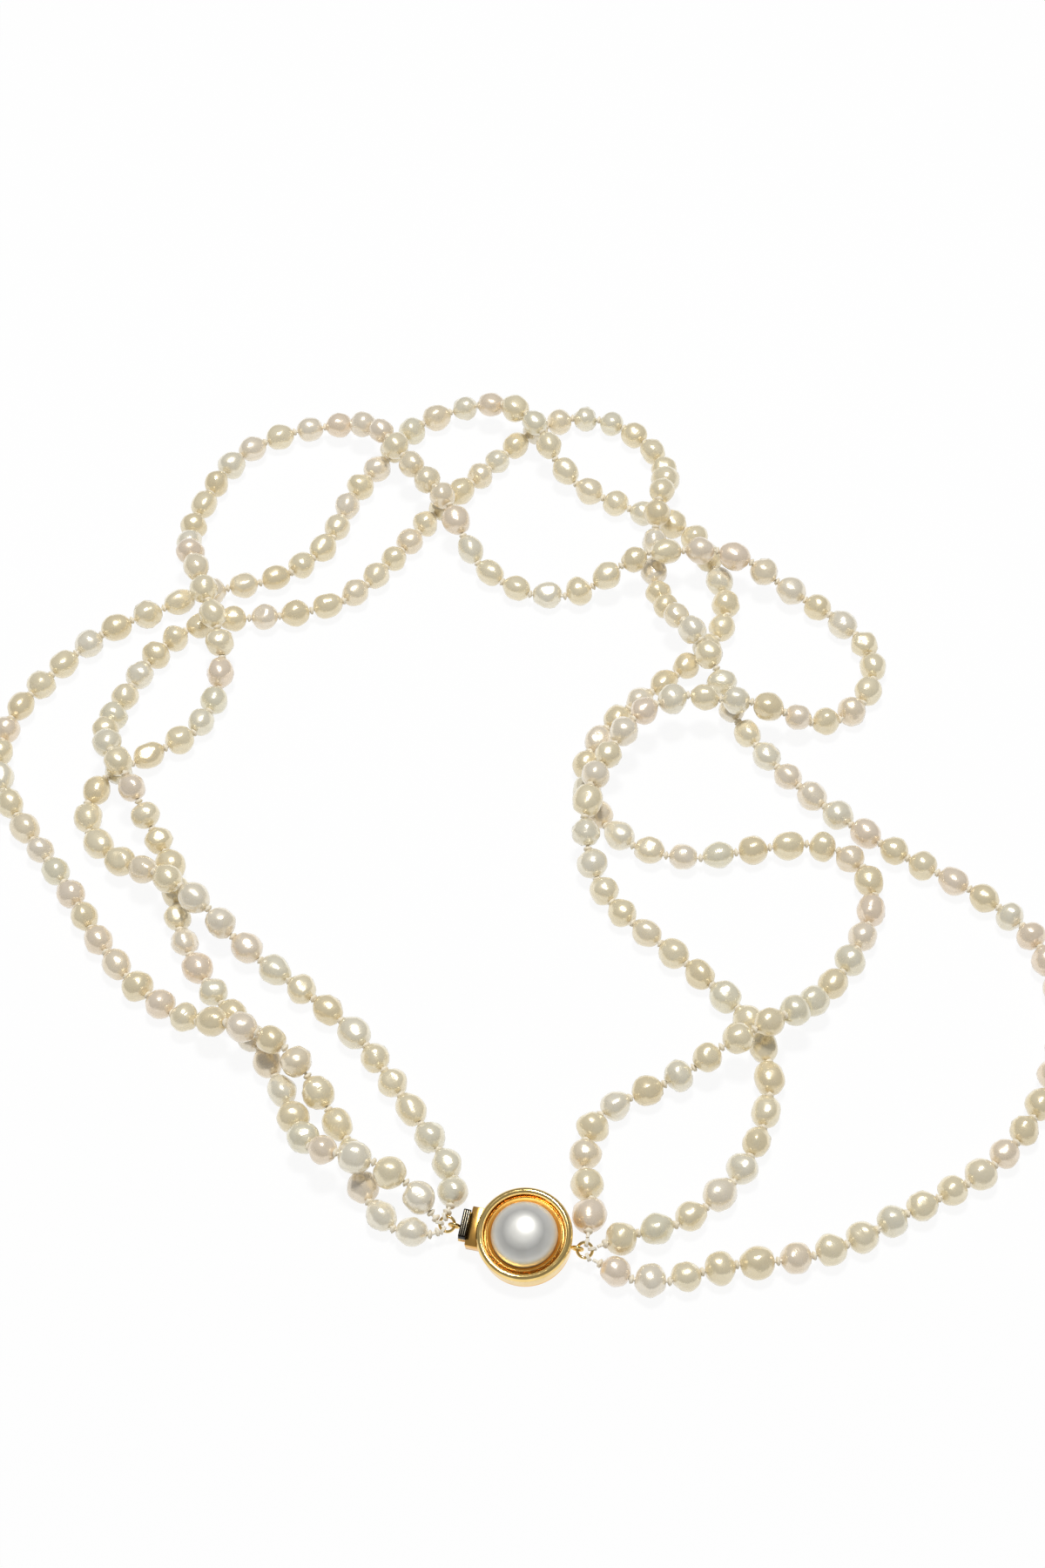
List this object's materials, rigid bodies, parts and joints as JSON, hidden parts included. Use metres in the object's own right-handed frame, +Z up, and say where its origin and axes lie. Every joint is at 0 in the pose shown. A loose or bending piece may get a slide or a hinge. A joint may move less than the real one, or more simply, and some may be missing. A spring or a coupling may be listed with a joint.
{
  "type": "pearl necklace",
  "caption": "Multi-strand necklace of small off-round pearls knotted on silk, lying in loose crossing loops, joined by a gold box clasp set with a domed half pearl.",
  "frame": {"origin": "middle of the object's outline at table level, measured over all pearls and the clasp", "axes": "+Z up from the table, +X to the right and +Y away from the clasp's side, along the object's longest extent"},
  "size_m": [0.1741, 0.1926, 0.0102],
  "materials": {
    "pearl": "lustrous cream nacre",
    "silk": "twisted silk",
    "half_pearl": "satin silver-white nacre",
    "nacre_disc": "matt nacre",
    "satin_gold": "satin gold plating",
    "polished_gold": "polished gold plating",
    "dark_thumb_piece": "dark ribbed metal"
  },
  "bodies": {
    "root": {"tongue_lower_leaf": "polished_gold", "tongue_eye": "polished_gold", "inner_pearls": "pearl", "inner_silk": "silk", "outer_pearls": "pearl", "outer_silk": "silk", "middle_pearls": "pearl", "middle_silk": "silk"},
    "clasp_box": {"clasp_back_plate": "polished_gold", "clasp_side_wall": "polished_gold", "clasp_deck": "polished_gold", "clasp_bead": "polished_gold", "clasp_bezel": "satin_gold", "mabe_dome": "half_pearl", "mabe_backing": "nacre_disc", "mouth_collar": "polished_gold", "ring_eye": "polished_gold"},
    "spring_leaf": {"tongue_spring_leaf": "polished_gold", "thumb_piece": "dark_thumb_piece"},
    "left_ring": {"left_jump_ring": "polished_gold"},
    "right_ring": {"right_jump_ring": "polished_gold"},
    "inner_back_loop": {"inner_back_loop_pearls": "pearl", "inner_back_loop_silk": "silk"},
    "inner_right_loop": {"inner_right_loop_pearls": "pearl", "inner_right_loop_silk": "silk"},
    "outer_left_loop": {"outer_left_loop_pearls": "pearl", "outer_left_loop_silk": "silk"},
    "middle_back_loop": {"middle_back_loop_pearls": "pearl", "middle_back_loop_silk": "silk"},
    "middle_right_loop": {"middle_right_loop_pearls": "pearl", "middle_right_loop_silk": "silk"},
    "inner_elbow": {"inner_elbow_pearls": "pearl", "inner_elbow_silk": "silk"},
    "inner_end": {"inner_end_pearls": "pearl", "inner_end_silk": "silk"},
    "outer_elbow": {"outer_elbow_pearls": "pearl", "outer_elbow_silk": "silk"},
    "outer_end": {"outer_end_pearls": "pearl", "outer_end_silk": "silk"},
    "middle_elbow": {"middle_elbow_pearls": "pearl", "middle_elbow_silk": "silk"},
    "middle_end": {"middle_end_pearls": "pearl", "middle_end_silk": "silk"}
  },
  "joints": [
    {"name": "clasp_slide", "type": "slide", "parent": "root", "child": "clasp_box", "axis": [0.9744, -0.225, 0], "range_m": [0, 0.0063]},
    {"name": "leaf_press", "type": "hinge", "parent": "root", "child": "spring_leaf", "pos_m": [0.00018, -0.08734, 0.00321], "axis": [-0.2139, -0.9267, -0.309], "range_deg": [0, 4], "stiffness_Nm_per_rad": 0.005},
    {"name": "left_ring_turn", "type": "hinge", "parent": "root", "child": "left_ring", "pos_m": [-0.00892, -0.0852, 0.00307], "axis": [-0.1385, -0.5999, 0.788], "continuous": true},
    {"name": "right_ring_turn", "type": "hinge", "parent": "clasp_box", "child": "right_ring", "pos_m": [0.01096, -0.08994, 0.00354], "axis": [-0.1385, -0.5999, 0.788], "continuous": true},
    {"name": "inner_back_loop_lift", "type": "hinge", "parent": "root", "child": "inner_back_loop", "pos_m": [-0.05668, 0.05464, 0.00512], "axis": [0.6351, 0.7722, -0.0166], "range_deg": [0, 15]},
    {"name": "inner_right_loop_lift", "type": "hinge", "parent": "root", "child": "inner_right_loop", "pos_m": [0.04629, 0.04722, 0.00402], "axis": [0.2724, -0.9611, -0.0448], "range_deg": [0, 10]},
    {"name": "outer_left_loop_lift", "type": "hinge", "parent": "root", "child": "outer_left_loop", "pos_m": [-0.0558, -0.04291, 0.00255], "axis": [-0.1186, 0.9929, 0], "range_deg": [0, 25]},
    {"name": "middle_back_loop_lift", "type": "hinge", "parent": "root", "child": "middle_back_loop", "pos_m": [0.01116, 0.09186, 0.00255], "axis": [0.6994, -0.7137, 0.0376], "range_deg": [0, 7]},
    {"name": "middle_right_loop_lift", "type": "hinge", "parent": "root", "child": "middle_right_loop", "pos_m": [0.04079, 0.00976, 0.00255], "axis": [0.6696, -0.7427, 0], "range_deg": [0, 25]},
    {"name": "inner_elbow_swing", "type": "hinge", "parent": "root", "child": "inner_elbow", "pos_m": [0.03806, -0.05018, 0.00255], "axis": [0, 0, 1], "range_deg": [0, 11.56]},
    {"name": "inner_end_swing", "type": "hinge", "parent": "clasp_box", "child": "inner_end", "pos_m": [0.01204, -0.08989, 0.00378], "axis": [0, 0, 1], "range_deg": [0, 2.7]},
    {"name": "outer_elbow_swing", "type": "hinge", "parent": "root", "child": "outer_elbow", "pos_m": [0.0182, -0.06226, 0.00255], "axis": [0, 0, 1], "range_deg": [0, 17.88]},
    {"name": "outer_end_swing", "type": "hinge", "parent": "clasp_box", "child": "outer_end", "pos_m": [0.01125, -0.08912, 0.00422], "axis": [0, 0, 1], "range_deg": [0, 7.54]},
    {"name": "middle_elbow_swing", "type": "hinge", "parent": "root", "child": "middle_elbow", "pos_m": [0.08472, -0.04987, 0.00255], "axis": [0, 0, 1], "range_deg": [0, 8.72]},
    {"name": "middle_end_swing", "type": "hinge", "parent": "clasp_box", "child": "middle_end", "pos_m": [0.01142, -0.09078, 0.00299], "axis": [0, 0, 1], "range_deg": [-5.45, 0]}
  ],
  "couplings": [
    {"joint": "inner_elbow_swing", "follows": "clasp_slide", "rad_per_m": 31.876},
    {"joint": "inner_end_swing", "follows": "clasp_slide", "rad_per_m": 7.342},
    {"joint": "outer_elbow_swing", "follows": "clasp_slide", "rad_per_m": 49.395},
    {"joint": "outer_end_swing", "follows": "clasp_slide", "rad_per_m": 20.749},
    {"joint": "middle_elbow_swing", "follows": "clasp_slide", "rad_per_m": 24.017},
    {"joint": "middle_end_swing", "follows": "clasp_slide", "rad_per_m": -14.964}
  ]
}
